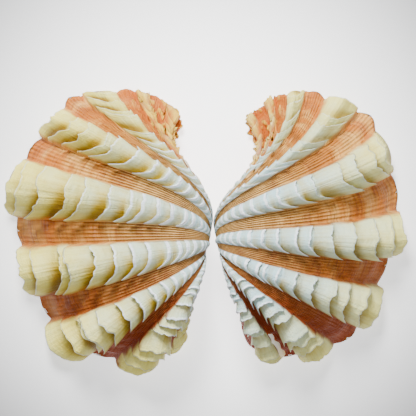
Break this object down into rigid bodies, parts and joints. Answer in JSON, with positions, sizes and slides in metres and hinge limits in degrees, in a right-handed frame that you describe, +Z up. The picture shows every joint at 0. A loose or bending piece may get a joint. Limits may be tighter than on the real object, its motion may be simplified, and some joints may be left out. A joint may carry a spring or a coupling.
{
  "type": "giant clam shell",
  "caption": "Matched pair of fluted clam valves laid hollow side down like open wings, with fan-shaped scaly ribs, deep furrows, a wavy edge and beaks that meet in the middle.",
  "frame": {"origin": "centre of the pair on the table it lies on", "axes": "+X from the left valve to the right valve, +Y along the valves towards their front ends with the byssal notch, +Z up through the domed backs"},
  "size_m": [0.282, 0.2002, 0.0603],
  "materials": {
    "left_shell": "dull grown shell, cream ribs and orange furrows",
    "right_shell": "dull grown shell, cream ribs and orange furrows"
  },
  "bodies": {
    "root": {"left_valve": "left_shell", "right_valve": "right_shell"}
  },
  "joints": []
}
